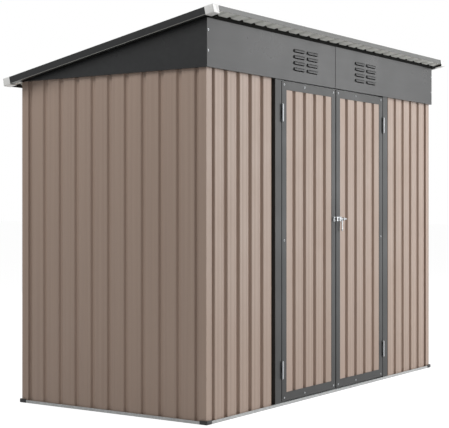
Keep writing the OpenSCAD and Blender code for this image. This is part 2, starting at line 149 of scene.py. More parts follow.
softbox("sheen_softbox", place=(5.35, -7.1, 2.1), aim=(-1.24, -2.25, 0.9), width=8, height=4.2, power=305)
softbox("high_softbox", place=(3.9, -5.5, 5.4), aim=(-0.3, -0.55, 0.8), width=4, height=3, power=270)
softbox("left_softbox", place=(-3.4, 0.75, 3.8), aim=(-1.15, -0.2, 1.1), width=2.5, height=2, power=57)
softbox("rear_softbox", place=(2.0, 6.0, 2.6), aim=(0.5, 0.55, 0.9), width=6, height=4, power=130)

# %% [markdown]
# White surroundings
#
# The world is pure white where the camera, metal or glass looks at it, and much weaker where it
# only lights the paint, so that shaded sides keep their depth. The Light Path node tells these
# rays apart. One strength for all would leave the background grey or wash out the shade.

# %% White surroundings
WHITE = (1, 1, 1, 1)
WHITE_LEVEL = 1
FILL_LEVEL = 0.22


def seen_rays(tree):
    """Output that is 1 for the rays of the camera, of reflections and through glass."""
    path = tree.nodes.new("ShaderNodeLightPath")
    seen = path.outputs["Is Camera Ray"]
    for other in ("Is Glossy Ray", "Is Transmission Ray"):
        either = tree.nodes.new("ShaderNodeMath")
        either.operation = "MAXIMUM"
        tree.links.new(seen, either.inputs[0])
        tree.links.new(path.outputs[other], either.inputs[1])
        seen = either.outputs[0]
    return seen


world = bpy.data.worlds.new("studio")
bpy.context.scene.world = world
world.use_nodes = True
sky = world.node_tree
backdrop = sky.nodes["Background"]
backdrop.inputs["Color"].default_value = WHITE
level = sky.nodes.new("ShaderNodeMapRange")
level.inputs["To Min"].default_value = FILL_LEVEL
level.inputs["To Max"].default_value = WHITE_LEVEL
sky.links.new(seen_rays(sky), level.inputs["Value"])
sky.links.new(level.outputs["Result"], backdrop.inputs["Strength"])
print("world fill", FILL_LEVEL)

# %% [markdown]
# Floor
#
# The shed stands on plain white ground with only a breath of shadow. A white floor in this soft
# light would look grey, so what the camera sees of it is mostly its own glow, with a thin share
# of real light that keeps the shadow. All other rays meet a plain pale floor, which throws a
# little light up under the roof's overhang.

# %% Floor
FLOOR_SIZE = 120
FLOOR_DROP = 0.0005
FLOOR_GLOW = 0.915
SHADOW_SHARE = (0.30, 0.30, 0.30, 1)
FLOOR_WHITE = (0.65, 0.65, 0.65, 1)

bpy.ops.object.select_all(action="DESELECT")
bpy.ops.mesh.primitive_plane_add(size=FLOOR_SIZE, location=(0, 0, -FLOOR_DROP))
floor = bpy.context.object
floor.name = "floor"
ground = bpy.data.materials.new("studio_floor")
ground.use_nodes = True
tree = ground.node_tree
tree.nodes.remove(tree.nodes["Principled BSDF"])
glow = tree.nodes.new("ShaderNodeEmission")
glow.inputs["Strength"].default_value = FLOOR_GLOW
shadowed = tree.nodes.new("ShaderNodeBsdfDiffuse")
shadowed.inputs["Color"].default_value = SHADOW_SHARE
plain = tree.nodes.new("ShaderNodeBsdfDiffuse")
plain.inputs["Color"].default_value = FLOOR_WHITE
shown = tree.nodes.new("ShaderNodeAddShader")
tree.links.new(glow.outputs[0], shown.inputs[0])
tree.links.new(shadowed.outputs[0], shown.inputs[1])
choice = tree.nodes.new("ShaderNodeMixShader")
tree.links.new(seen_rays(tree), choice.inputs[0])
tree.links.new(plain.outputs[0], choice.inputs[1])
tree.links.new(shown.outputs[0], choice.inputs[2])
tree.links.new(choice.outputs[0], tree.nodes["Material Output"].inputs["Surface"])
floor.data.materials.append(ground)
print("floor", FLOOR_SIZE, "m")

# %% [markdown]
# Ground inside
#
# The patch that the shed stands over must not glow, or the shed would be lit from inside. It
# could be a second plane, but two planes in one place flicker, so the patch is cut out of the
# floor's own mesh and gets a plain, dull finish.

# %% Ground inside
INSIDE_X, INSIDE_Y = 1.14, 0.54
GROUND_ROUGH = 0.9

inside = bpy.data.materials.new("plain_ground")
inside.use_nodes = True
dull = inside.node_tree.nodes["Principled BSDF"]
dull.inputs["Base Color"].default_value = FLOOR_WHITE
dull.inputs["Roughness"].default_value = GROUND_ROUGH
floor.data.materials.append(inside)
bpy.ops.object.mode_set(mode="EDIT")
for side in (-1, 1):
    for place, way in (((side * INSIDE_X, 0, 0), (1, 0, 0)), ((0, side * INSIDE_Y, 0), (0, 1, 0))):
        bpy.ops.mesh.select_all(action="SELECT")
        bpy.ops.mesh.bisect(plane_co=place, plane_no=way)
bpy.ops.object.mode_set(mode="OBJECT")
for face in floor.data.polygons:
    if abs(face.center.x) < INSIDE_X and abs(face.center.y) < INSIDE_Y:
        face.material_index = 1
floor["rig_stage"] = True
print("ground inside", 2 * INSIDE_X, "by", 2 * INSIDE_Y, "m")

# %% [markdown]
# Finishes
#
# The sheets are coil-coated steel: an even satin paint that shows faint lengthwise roller
# streaks, a fine orange peel and the slow waves of thin sheet. One recipe serves every coat: two
# tones of the colour mixed by stretched noise, a second noise for the roughness and two more for
# the bump. Pictures of paint would do too, but they repeat. Object coordinates keep the pattern
# fixed to the shed.

# %% Helpers for colours


def tone(red, green, blue):
    """A colour as a screen shows it, from 0 to 255, as linear light."""
    def linear(c):
        c = c / 255
        return c / 12.92 if c <= 0.04045 else ((c + 0.055) / 1.055) ** 2.4
    return (linear(red), linear(green), linear(blue), 1)


def mix(tree, share, first, second):
    """Two colours mixed by a share."""
    node = tree.nodes.new("ShaderNodeMix")
    node.data_type = "RGBA"
    node.inputs["A"].default_value = first
    node.inputs["B"].default_value = second
    tree.links.new(share, node.inputs["Factor"])
    return node.outputs["Result"]


def new_finish(name):
    """A material with a fresh principled shader, as (material, tree, shader)."""
    material = bpy.data.materials.new(name)
    material.use_nodes = True
    return material, material.node_tree, material.node_tree.nodes["Principled BSDF"]


print("middle grey as linear light", round(tone(128, 128, 128)[0], 3))

# %% Helpers for noise and bump
NOISE_LOW, NOISE_HIGH = 0.3, 0.7
EVERY_WAY = (1, 1, 1)


def noise(tree, stretch, scale, detail):
    """Noise in object coordinates, stretched along the axes."""
    place = tree.nodes.new("ShaderNodeTexCoord")
    mapping = tree.nodes.new("ShaderNodeMapping")
    mapping.inputs["Scale"].default_value = stretch
    texture = tree.nodes.new("ShaderNodeTexNoise")
    texture.inputs["Scale"].default_value = scale
    texture.inputs["Detail"].default_value = detail
    tree.links.new(place.outputs["Object"], mapping.inputs["Vector"])
    tree.links.new(mapping.outputs["Vector"], texture.inputs["Vector"])
    return texture.outputs["Fac"]


def spread(tree, value, low, high):
    """Noise, which stays near its middle, spread over a range."""
    node = tree.nodes.new("ShaderNodeMapRange")
    node.inputs["From Min"].default_value = NOISE_LOW
    node.inputs["From Max"].default_value = NOISE_HIGH
    node.inputs["To Min"].default_value = low
    node.inputs["To Max"].default_value = high
    tree.links.new(value, node.inputs["Value"])
    return node.outputs["Result"]


def bump(tree, height, distance, below=None):
    """Bump from a height, on top of another bump."""
    node = tree.nodes.new("ShaderNodeBump")
    node.inputs["Distance"].default_value = distance
    tree.links.new(height, node.inputs["Height"])
    if below:
        tree.links.new(below, node.inputs["Normal"])
    return node.outputs["Normal"]


print("noise is spread from", NOISE_LOW, "to", NOISE_HIGH)

# %% One coat of paint or plastic
STREAK_DETAIL = 4
PATCH_SCALE, PATCH_DETAIL = 5, 3
WAVE_STRETCH = (1, 1, 0.25)
WAVE_SCALE, WAVE_DETAIL = 6, 1
PEEL_SCALE, PEEL_DETAIL = 900, 2


def coat(name, dark, light, streaks, rough, shine, peel, waves):
    """Paint or plastic: two tones in streaks, a range of roughness, fine peel and slow waves."""
    material, tree, shader = new_finish(name)
    shader.inputs["Specular IOR Level"].default_value = shine
    streak = spread(tree, noise(tree, streaks, 1, STREAK_DETAIL), 0, 1)
    tree.links.new(mix(tree, streak, dark, light), shader.inputs["Base Color"])
    patch = spread(tree, noise(tree, EVERY_WAY, PATCH_SCALE, PATCH_DETAIL), *rough)
    tree.links.new(patch, shader.inputs["Roughness"])
    slow = bump(tree, noise(tree, WAVE_STRETCH, WAVE_SCALE, WAVE_DETAIL), waves)
    fine = bump(tree, noise(tree, EVERY_WAY, PEEL_SCALE, PEEL_DETAIL), peel, slow)
    tree.links.new(fine, shader.inputs["Normal"])
    return material


print("coat recipe ready")

# %% [markdown]
# Paints
#
# Walls and door panels are brown, and fascia, gables and trim anthracite. The door frames and
# jambs are duller than the fascia, and the roof is the dullest. The roof's front trim is painted a
# lighter grey and the side trims' hems paler still, partly as painted sheen and painted highlight,
# and the back of every sheet has a pale coat. One anthracite for all would be less work, but then
# the frames would shine like the fascia.

# %% Paints
UPRIGHT = (70, 70, 0.7)
ALONG_X = (1.5, 40, 40)
EVEN = (12, 12, 12)
FINE_PEEL, COARSE_PEEL = 0.00002, 0.00003
SHEET_WAVES = 0.0003

finishes = {
    "brown_paint": coat(
        "brown_paint", tone(170, 148, 134), tone(177, 155, 140), UPRIGHT,
        rough=(0.38, 0.48), shine=0.42, peel=FINE_PEEL, waves=SHEET_WAVES),
    "anthracite_paint": coat(
        "anthracite_paint", tone(41, 42, 43), tone(46, 47, 48), ALONG_X,
        rough=(0.26, 0.34), shine=0.25, peel=FINE_PEEL, waves=SHEET_WAVES),
}
frame_paint = coat(
    "frame_paint", tone(41, 42, 42), tone(46, 47, 47), UPRIGHT,
    rough=(0.42, 0.50), shine=0.35, peel=FINE_PEEL, waves=SHEET_WAVES)
roof_paint = coat(
    "roof_paint", tone(45, 46, 47), tone(50, 51, 52), EVEN,
    rough=(0.46, 0.58), shine=0.30, peel=COARSE_PEEL, waves=SHEET_WAVES)
# Lighter grey for the roof's front trim, partly painted sheen.
grey_trim_sheen = coat(
    "grey_trim_sheen_paint", tone(100, 101, 99), tone(107, 108, 106), ALONG_X,
    rough=(0.32, 0.42), shine=0.30, peel=FINE_PEEL, waves=SHEET_WAVES)
# Pale grey for the hems of the side trims, partly a painted highlight.
pale_hem_highlight = coat(
    "pale_hem_highlight_paint", tone(132, 133, 128), tone(141, 142, 137), ALONG_X,
    rough=(0.32, 0.42), shine=0.30, peel=FINE_PEEL, waves=SHEET_WAVES)
backing = coat(
    "backing_coat", tone(238, 239, 233), tone(246, 247, 242), UPRIGHT,
    rough=(0.45, 0.55), shine=0.30, peel=COARSE_PEEL, waves=SHEET_WAVES)
print("paints", [paint.name for paint in (frame_paint, roof_paint, grey_trim_sheen, pale_hem_highlight, backing)])

# %% [markdown]
# Plastic and foam
#
# The corner caps and feet are moulded plastic, white above and black below, and the strips under
# the roof are black foam, which also stands in as painted shadow under the overhang. A recipe of
# their own isn't needed: the same one serves, with even noise in place of the roller streaks and a
# coarser grain. Foam hardly shines at all.

# %% Plastic and foam
BLACK_GRAIN = 0.00008
WHITE_GRAIN = 0.00005
FOAM_GRAIN = 0.0002
MOULD_WAVES = 0.0001

finishes["black_plastic"] = coat(
    "black_plastic", tone(22, 22, 23), tone(30, 30, 31), EVEN,
    rough=(0.45, 0.60), shine=0.40, peel=BLACK_GRAIN, waves=MOULD_WAVES)
finishes["white_plastic"] = coat(
    "white_plastic", tone(240, 240, 237), tone(247, 247, 245), EVEN,
    rough=(0.24, 0.34), shine=0.60, peel=WHITE_GRAIN, waves=MOULD_WAVES)
# Near-black foam: partly a seal, partly painted shadow under the overhang.
shadow_foam = coat(
    "painted_shadow_foam", tone(18, 18, 17), tone(26, 26, 25), EVEN,
    rough=(0.80, 0.95), shine=0.10, peel=FOAM_GRAIN, waves=MOULD_WAVES)
print("coats for slots", sorted(finishes))

# %% [markdown]
# Galvanised steel
#
# The base rail is galvanised: zinc freezes on it in patches, the spangle, which differ a little
# in tone and gloss. Noise would blur them, so a cell pattern gives those patches, with one tone
# and one roughness to a cell.

# %% Galvanised steel
SPANGLE_SCALE = 110
SPANGLE_METAL = 0.2
SPANGLE_ROUGH = (0.30, 0.46)
ZINC_GRAIN_SCALE, ZINC_GRAIN_DETAIL = 250, 3
ZINC_GRAIN = 0.00003


def galvanised_steel():
    """Zinc coat in frozen patches that differ in tone and roughness."""
    material, tree, shader = new_finish("galvanised")
    shader.inputs["Metallic"].default_value = SPANGLE_METAL
    place = tree.nodes.new("ShaderNodeTexCoord")
    cells = tree.nodes.new("ShaderNodeTexVoronoi")
    cells.inputs["Scale"].default_value = SPANGLE_SCALE
    tree.links.new(place.outputs["Object"], cells.inputs["Vector"])
    patch = tree.nodes.new("ShaderNodeSeparateColor")
    tree.links.new(cells.outputs["Color"], patch.inputs["Color"])
    spangle = mix(tree, patch.outputs["Red"], tone(168, 170, 170), tone(188, 190, 190))
    tree.links.new(spangle, shader.inputs["Base Color"])
    gloss = tree.nodes.new("ShaderNodeMapRange")
    gloss.inputs["To Min"].default_value = SPANGLE_ROUGH[0]
    gloss.inputs["To Max"].default_value = SPANGLE_ROUGH[1]
    tree.links.new(patch.outputs["Green"], gloss.inputs["Value"])
    tree.links.new(gloss.outputs["Result"], shader.inputs["Roughness"])
    grain = noise(tree, EVERY_WAY, ZINC_GRAIN_SCALE, ZINC_GRAIN_DETAIL)
    tree.links.new(bump(tree, grain, ZINC_GRAIN), shader.inputs["Normal"])
    return material


finishes["galvanised"] = galvanised_steel()
print("spangle cells", SPANGLE_SCALE, "to the metre")

# %% [markdown]
# Zinc plate
#
# The hinges, the screws and the bolt are bright zinc plate, smoother than the rail, with only
# fine scratches. On pieces this small single scratches needn't be drawn: noise that is squeezed
# along one axis gives them, in tone and in bump.

# %% Zinc plate
SCRATCHES = (900, 60, 60)
SCRATCH_DETAIL = 4
SCRATCH_DEPTH = 0.00001
BLUR_SCALE, BLUR_DETAIL = 60, 3
PLATE_ROUGH = (0.24, 0.40)


def zinc_plate():
    """Bright zinc with fine scratches, rougher in some places than in others."""
    material, tree, shader = new_finish("zinc")
    shader.inputs["Metallic"].default_value = 1
    scratch = spread(tree, noise(tree, SCRATCHES, 1, SCRATCH_DETAIL), 0, 1)
    colour = mix(tree, scratch, tone(150, 153, 156), tone(176, 178, 180))
    tree.links.new(colour, shader.inputs["Base Color"])
    blur = spread(tree, noise(tree, EVERY_WAY, BLUR_SCALE, BLUR_DETAIL), *PLATE_ROUGH)
    tree.links.new(blur, shader.inputs["Roughness"])
    tree.links.new(bump(tree, scratch, SCRATCH_DEPTH), shader.inputs["Normal"])
    return material


finishes["zinc"] = zinc_plate()
print("finishes", sorted(finishes))

# %% [markdown]
# Painting the loaded pieces
#
# Each loaded piece carries the name of its finish, so a loop can hand the finishes out. Doing it
# piece by piece would be the same line fifty times. Only a few differ: the door frames and jambs
# get the duller paint, and the roof's front trim a lighter grey, partly a painted sheen that the
# trim would catch from the lamps.

# %% Paint the loaded pieces
for name, node in frame["nodes"].items():
    slot = node.data.materials[0].name.split(".")[0]
    for index in range(len(node.data.materials)):
        node.data.materials[index] = finishes[slot]
    if slot == "anthracite_paint" and name.startswith(("door_", "jamb_")):
        node.data.materials[0] = frame_paint
# The front trim's lighter grey is partly painted sheen.
frame["nodes"]["roof_trim_front"].data.materials[0] = grey_trim_sheen

# %% [markdown]
# Ways to work on a mesh
#
# Every new piece starts as a primitive and is shaped in edit mode, as by hand. A mouse would
# click the faces and edges to work on. Here a small helper selects them by their place or by
# the way they face. Others start a piece, round its sharp edges and set it down where it belongs.

# %% Helpers for choosing
TINY = 1e-5
FACING = 0.9


def named(name):
    """The object that an operator just made, with its own name."""
    piece = bpy.context.object
    piece.name = name
    piece.data.name = name
    return piece


def only(piece):
    """Makes a piece the only selected one, and the active one."""
    bpy.ops.object.select_all(action="DESELECT")
    piece.select_set(True)
    bpy.context.view_layer.objects.active = piece


def pick(piece, kind, test):
    """In edit mode, selects the verts, edges or faces that pass a test."""
    modes = {"verts": "VERT", "edges": "EDGE", "faces": "FACE"}
    bpy.ops.mesh.select_mode(type=modes[kind])
    bpy.ops.mesh.select_all(action="DESELECT")
    shape = bmesh.from_edit_mesh(piece.data)
    shape.normal_update()
    for part in getattr(shape, kind):
        part.select_set(test(part))
    shape.select_flush_mode()
    bmesh.update_edit_mesh(piece.data)


def push(piece, test, way):
    """In edit mode, moves the verts that pass a test."""
    pick(piece, "verts", test)
    bpy.ops.transform.translate(value=way)


print("a face counts as facing an axis where its normal is over", FACING)

# %% Helpers for whole pieces


def start_piece(name, primitive, scale=(1, 1, 1), **settings):
    """Adds a primitive with nothing else selected, at its size, and opens it in edit mode."""
    bpy.ops.object.select_all(action="DESELECT")
    primitive(**settings)
    piece = named(name)
    piece.scale = scale
    bpy.ops.object.transform_apply(location=True, rotation=True, scale=True)
    bpy.ops.object.mode_set(mode="EDIT")
    return piece


def lay(piece, turn=(0, 0, 0), place=(0, 0, 0)):
    """Turns and moves a piece, then applies both so that its place is in its mesh."""
    only(piece)
    piece.rotation_euler = turn
    piece.location = place
    bpy.ops.object.transform_apply(location=True, rotation=True, scale=True)
    return piece


def apply_modifier(piece, kind, **settings):
    """Adds a modifier with its settings and applies it at once."""
    only(piece)
    bpy.ops.object.modifier_add(type=kind)
    modifier = piece.modifiers[-1]
    for setting, value in settings.items():
        setattr(modifier, setting, value)
    bpy.ops.object.modifier_apply(modifier=modifier.name)


def soften(piece, width, degrees):
    """Rounds the edges that are sharper than an angle."""
    apply_modifier(piece, "BEVEL", width=width, segments=2, limit_method="ANGLE",
                   angle_limit=math.radians(degrees))


def smooth(piece, degrees):
    """Smooth shading across bends flatter than an angle."""
    only(piece)
    bpy.ops.object.shade_smooth_by_angle(angle=math.radians(degrees))


def copy_of(piece, name):
    """A copy with its own mesh."""
    twin = piece.copy()
    twin.data = piece.data.copy()
    twin.name = name
    bpy.context.scene.collection.objects.link(twin)
    return twin


def join(parts, name):
    """Joins several objects into one piece."""
    bpy.ops.object.select_all(action="DESELECT")
    for part in parts:
        part.select_set(True)
    bpy.context.view_layer.objects.active = parts[0]
    bpy.ops.object.join()
    return named(name)


print("modelling helpers ready")

# %% [markdown]
# Pressed sheets
#
# Walls, door panels and roof are flat coil pressed into grooves or ribs by rollers, so each bend
# is round and the inside has a pale backing coat. The loaded sheets have sharp bends and one
# colour. A profile curve could be extruded instead, but cutting a plane where the bends are,
# pushing the strips in, bevelling the bends and adding the sheet's thickness is what the
# rollers do, and it gives the second coat on the inside for nothing. Two shallow creases in each
# flat of walls and doors, which stop thin sheet from rippling, are pushed in the same way.

# %% Cuts for the bends
SHEET_T = 0.0012
PITCH = 0.100
GROOVE = {"face": 0.030, "floor": 0.018, "depth": 0.012}
RIB = {"face": 0.034, "floor": 0.012, "depth": -0.015}


def cut_upright(x, **clear):
    """Cuts the whole mesh along an upright line."""
    bpy.ops.mesh.select_all(action="SELECT")
    bpy.ops.mesh.bisect(plane_co=(x, 0, 0), plane_no=(1, 0, 0), **clear)


def cut_bends(places, press):
    """Cuts along the four bends of every groove or rib."""
    for c in places:
        for half in (press["face"] / 2, press["floor"] / 2):
            cut_upright(c - half)
            cut_upright(c + half)


print("groove", GROOVE, "rib", RIB)

# %% Press a sheet
BEND = 0.0024
BEND_STEPS = 3
BEND_LEAST = math.radians(28)
CREASE_W = 0.008
CREASE_DEPTH = 0.0008
END_LAND = 0.020
SHEET_SMOOTH = 30


def pressed_sheet(name, left, right, low, high, places, press, coats, lap=None, sunk=None,
                  creases=()):
    """Sheet that faces -Y, with grooves pushed in or ribs pushed out at the places.
    A sunk range stays at the bottom of its groove, and what lies left of lap is raised."""
    start = min([left] + [c - press["face"] / 2 - END_LAND for c in places])
    end = max([right] + [c + press["face"] / 2 + END_LAND for c in places])
    piece = start_piece(
        name, bpy.ops.mesh.primitive_plane_add, scale=(end - start, high - low, 1), size=1,
        location=((start + end) / 2, 0, (low + high) / 2), rotation=(QUARTER_TURN, 0, 0))
    cut_bends(places, press)
    reach = press["floor"] / 2 + TINY
    pushed = [(c - reach, c + reach) for c in places] + ([sunk] if sunk else [])
    push(piece, lambda v: any(a < v.co.x < b for a, b in pushed), (0, press["depth"], 0))
    for c in creases:
        for x in (c - CREASE_W / 2, c, c + CREASE_W / 2):
            cut_upright(x)
    if creases:
        push(piece, lambda v: any(abs(v.co.x - c) < TINY for c in creases), (0, CREASE_DEPTH, 0))
    if lap:
        push(piece, lambda v: v.co.x < lap, (0, -SHEET_T, 0))
    pick(piece, "edges", lambda e: not e.is_boundary and e.calc_face_angle() > BEND_LEAST)
    bpy.ops.mesh.bevel(offset=BEND, segments=BEND_STEPS, affect="EDGES")
    cut_upright(left, clear_inner=True)
    cut_upright(right, clear_outer=True)
    bpy.ops.object.mode_set(mode="OBJECT")
    for material in coats:
        piece.data.materials.append(material)
    apply_modifier(piece, "SOLIDIFY", thickness=SHEET_T, offset=-1, use_even_offset=True,
                   material_offset=1)
    smooth(piece, SHEET_SMOOTH)
    return piece


print("bends of", BEND * 1000, "mm, creases of", CREASE_DEPTH * 1000, "mm")

# %% [markdown]
# Wall sheets
#
# The rear and the two sides are one grooved sheet each between the corner posts. The front has one
# on either side of the doorway, which tucks behind the jamb at the depth of a groove. All grooves
# lie at whole pitches. Every sheet could be built in its own place, but one that is pressed facing
# the front and then turned to its side needs only one recipe.

# %% Recipe for a wall sheet
EDGE_LAND = 0.030
CREASE_AT = 0.016
brown_sheet = (finishes["brown_paint"], backing)


def flat_creases(places):
    """Two creases on each flat between neighbouring grooves."""
    flats = [(a + b) / 2 for a, b in zip(places, places[1:])]
    return [flat + side * CREASE_AT for flat in flats for side in (-1, 1)]


def groove_places(left, right, left_land, right_land):
    """Grooves at whole pitches that leave a flat of the given width at each edge."""
    reach = GROOVE["face"] / 2
    first = math.ceil((left + left_land + reach) / PITCH)
    last = math.floor((right - right_land - reach) / PITCH)
    return [i * PITCH for i in range(first, last + 1)]


def stand_for(piece, node):
    """The piece replaces a loaded node and rides on the same body."""
    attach(piece, frame["nodes"][node]["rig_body"])
    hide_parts(node)


def wall_sheet(node, axis, turn, outer, lands=(EDGE_LAND, EDGE_LAND), sunk=None):
    """Wall sheet along an axis, turned to face outwards from its outer face's place."""
    low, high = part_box(node)
    left, right = low[axis], high[axis]
    places = groove_places(left, right, *lands)
    sheet = pressed_sheet(
        node + "_sheet", left, right, low.z, high.z, places, GROOVE, brown_sheet, sunk=sunk,
        creases=flat_creases(places))
    lay(sheet, (0, 0, turn), outer)
    stand_for(sheet, node)
    print(sheet.name, len(places), "grooves", len(sheet.data.polygons), "faces")


print("grooves every", PITCH, "m")

# %% Wall sheets
X_AXIS, Y_AXIS = 0, 1
HIDDEN_EDGE = -0.010
JAMB_TUCK = 0.008
front_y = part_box("wall_front_left")[0].y
rear_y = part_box("wall_rear")[1].y
left_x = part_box("wall_left")[0].x
right_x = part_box("wall_right")[1].x
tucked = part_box("wall_front_right")[0].x + JAMB_TUCK

wall_sheet("wall_front_left", X_AXIS, 0, (0, front_y, 0), (EDGE_LAND, HIDDEN_EDGE), (-tucked, 0))
wall_sheet("wall_front_right", X_AXIS, 0, (0, front_y, 0), (HIDDEN_EDGE, EDGE_LAND), (0, tucked))
wall_sheet("wall_rear", X_AXIS, 2 * QUARTER_TURN, (0, rear_y, 0))
wall_sheet("wall_left", Y_AXIS, -QUARTER_TURN, (left_x, 0, 0))
wall_sheet("wall_right", Y_AXIS, QUARTER_TURN, (right_x, 0, 0))

# %% [markdown]
# Door panels
#
# Each leaf holds a panel of the same sheet in its frame, with four grooves about its middle. The
# grooves are as deep as those of the loaded panel, which its box tells. The wall recipe would put
# the grooves at whole pitches of the shed instead, and they would be off the leaf's middle.

# %% Door panels
DOOR_GROOVES = 4

for side in ("left", "right"):
    node = f"door_{side}_panel"
    low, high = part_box(node)
    first = (low.x + high.x - (DOOR_GROOVES - 1) * PITCH) / 2
    places = [first + i * PITCH for i in range(DOOR_GROOVES)]
    press = dict(GROOVE, depth=high.y - low.y - SHEET_T)
    panel = pressed_sheet(node + "_sheet", low.x, high.x, low.z, high.z, places, press, brown_sheet,
                          creases=flat_creases(places))
    lay(panel, place=(0, low.y, 0))
    stand_for(panel, node)
    print(panel.name, [round(c, 4) for c in places])

# %% [markdown]
# Roof
#
# The roof is two ribbed sheets on a single slope. The right one laps over a rib of the left one,
# as roofers lay them, and both are pale below, which shows under the front overhang. They are
# pressed like the walls, with the ribs pushed out, and then laid on the slope. The slope and the
# roof's front edge are worked out first, because trim, caps and screws follow them too.

# %% Slope of the roof
FRONT_RISE = 0.226
REAR_RISE = 0.007
EAVES = 0.076
CAP_T = 0.002
CAP_ABOVE = 0.024
CAP_BELOW = -0.016
wall_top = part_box("wall_left")[1].z
wall_depth = rear_y - front_y

roof_slope = math.atan((FRONT_RISE - REAR_RISE) / wall_depth)
roof_turn = (-roof_slope, 0, 0)
roof_length = (wall_depth + 2 * EAVES) / math.cos(roof_slope)
roof_reach = roof_length * math.cos(roof_slope) + (CAP_ABOVE + CAP_BELOW) * math.sin(roof_slope)
roof_front = -roof_reach / 2
roof_height = wall_top + FRONT_RISE - (roof_front - front_y) * math.tan(roof_slope)
roof_origin = Vector((0, roof_front, roof_height))
print("roof slope", round(math.degrees(roof_slope), 2), "length", round(roof_length, 3))

# %% Roof sheets
LAP_X = 0.100
LAP_HIDDEN = 0.032
RIBS_EACH_SIDE = 11
RUN_INSET = CAP_T + SHEET_T
roof_sheet = (roof_paint, backing)
roof_ends = {
    "roof_sheet_left": (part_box("roof_sheet_left")[0].x, LAP_X + RIB["floor"] / 2, None),
    "roof_sheet_right": (LAP_X - LAP_HIDDEN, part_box("roof_sheet_right")[1].x, LAP_X + RIB["floor"]),
}
rib_rows = [i * PITCH for i in range(-RIBS_EACH_SIDE, RIBS_EACH_SIDE + 1)]

for node, (left, right, lap) in roof_ends.items():
    places = [c for c in rib_rows if left - TINY < c < right + TINY]
    sheet = pressed_sheet(
        node + "_ribbed", left, right, RUN_INSET, roof_length - RUN_INSET, places, RIB, roof_sheet, lap)
    lay(sheet, place=(0, -SHEET_T, 0))
    lay(sheet, (-QUARTER_TURN - roof_slope, 0, 0), roof_origin)
    stand_for(sheet, node)
    print(sheet.name, len(places), "ribs")

# %% [markdown]
# Corner caps and feet
#
# The white caps on the roof's corners and the black feet are moulded plastic, so every outer edge
# is round and the inner sides are open. The caps close above and below, the feet are open above.
# The loaded ones have sharp edges, which catch no light. A cube is the start of a new one: the
# open sides are deleted, the edges that are left between the walls are bevelled and the walls get
# their thickness. One is made and turned for the other corners.

# %% Moulded corner
MOULD_STEPS = 4
RIM_SHARE = 5
RIM_ANGLE = 50
MOULD_SMOOTH = 40


def moulded_corner(name, size, height, open_top, wall, edge, material):
    """Shell round a corner at the origin that runs along +X and +Y, open on its inner sides
    and, where asked, on top."""
    piece = start_piece(name, bpy.ops.mesh.primitive_cube_add, scale=(size, size, height), size=1,
                        location=(size / 2, size / 2, height / 2))
    pick(piece, "faces", lambda f: f.normal.x > FACING or f.normal.y > FACING
         or (open_top and f.normal.z > FACING))
    bpy.ops.mesh.delete(type="FACE")
    pick(piece, "edges", lambda e: not e.is_boundary)
    bpy.ops.mesh.bevel(offset=edge, segments=MOULD_STEPS, affect="EDGES")
    bpy.ops.object.mode_set(mode="OBJECT")
    piece.data.materials.append(material)
    apply_modifier(piece, "SOLIDIFY", thickness=wall, offset=-1, use_even_offset=True)
    soften(piece, wall / RIM_SHARE, RIM_ANGLE)
    smooth(piece, MOULD_SMOOTH)
    return piece


def corner_set(corner, name, x_ends, y_ends, z, turn=(0, 0, 0), place=(0, 0, 0)):
    """Copies of a corner at the four corners of a rectangle, each a quarter turn on from the
    one before, joined and laid down."""
    left, right = x_ends
    near, far = y_ends
    spots = ((left, near, z), (right, near, z), (right, far, z), (left, far, z))
    parts = []
    for turns, spot in enumerate(spots):
        part = copy_of(corner, f"{name}_{turns}")
        parts.append(lay(part, (0, 0, turns * QUARTER_TURN), spot))
    bpy.data.objects.remove(corner)
    return lay(join(parts, name), turn, place)


print("moulded edges in", MOULD_STEPS, "steps")

# %% Corner caps
CAP_SIZE = 0.045
CAP_EDGE = 0.004
roof_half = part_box("roof_corner_caps")[1].x

cap = moulded_corner("corner_cap", CAP_SIZE, CAP_ABOVE - CAP_BELOW, False, CAP_T, CAP_EDGE,
                     finishes["white_plastic"])
caps = corner_set(cap, "moulded_corner_caps", (-roof_half, roof_half), (0, roof_length), CAP_BELOW,
                  roof_turn, roof_origin)
stand_for(caps, "roof_corner_caps")
print("caps", len(caps.data.polygons), "faces")

# %% Corner feet
FOOT_SIZE = 0.040
FOOT_WALL = 0.0035
FOOT_EDGE = 0.0025
foot_low, foot_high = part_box("corner_feet")

foot = moulded_corner("corner_foot", FOOT_SIZE, foot_high.z, True, FOOT_WALL, FOOT_EDGE,
                      finishes["black_plastic"])
feet = corner_set(foot, "moulded_corner_feet", (foot_low.x, foot_high.x), (foot_low.y, foot_high.y), 0)
stand_for(feet, "corner_feet")
print("feet", len(feet.data.polygons), "faces")

# %% [markdown]
# Screws
#
# The sheets are held by pan-head screws on washers. A plain cylinder would look like a peg, so
# the washer is drawn in and up into a round head, and the middle is sunk as the drive recess.
# One screw is modelled at the origin, pointing up, and copied to every place.

# %% One screw
SCREW_SIDES = 14
SCREW_SMOOTH = 35
WASHER_R = 0.0052
WASHER_T = 0.0008
HEAD_R = 0.0036
HEAD_H = 0.0030
RECESS_R = 0.0016
RECESS_DEPTH = 0.0014
HEAD_RINGS = ((HEAD_R, WASHER_T), (HEAD_R * 0.97, 0.0018), (HEAD_R * 0.8, 0.0026), (HEAD_R * 0.5, HEAD_H))
RECESS_RINGS = ((RECESS_R, HEAD_H), (RECESS_R * 0.8, HEAD_H - RECESS_DEPTH))


def ring_in(radius, height, last_radius, last_height):
    """Extrudes the selected cap and draws it in to a new radius and height."""
    bpy.ops.mesh.extrude_region_move(
        TRANSFORM_OT_translate={"value": (0, 0, height - last_height)})
    share = radius / last_radius
    bpy.ops.transform.resize(value=(share, share, 1), center_override=(0, 0, height))


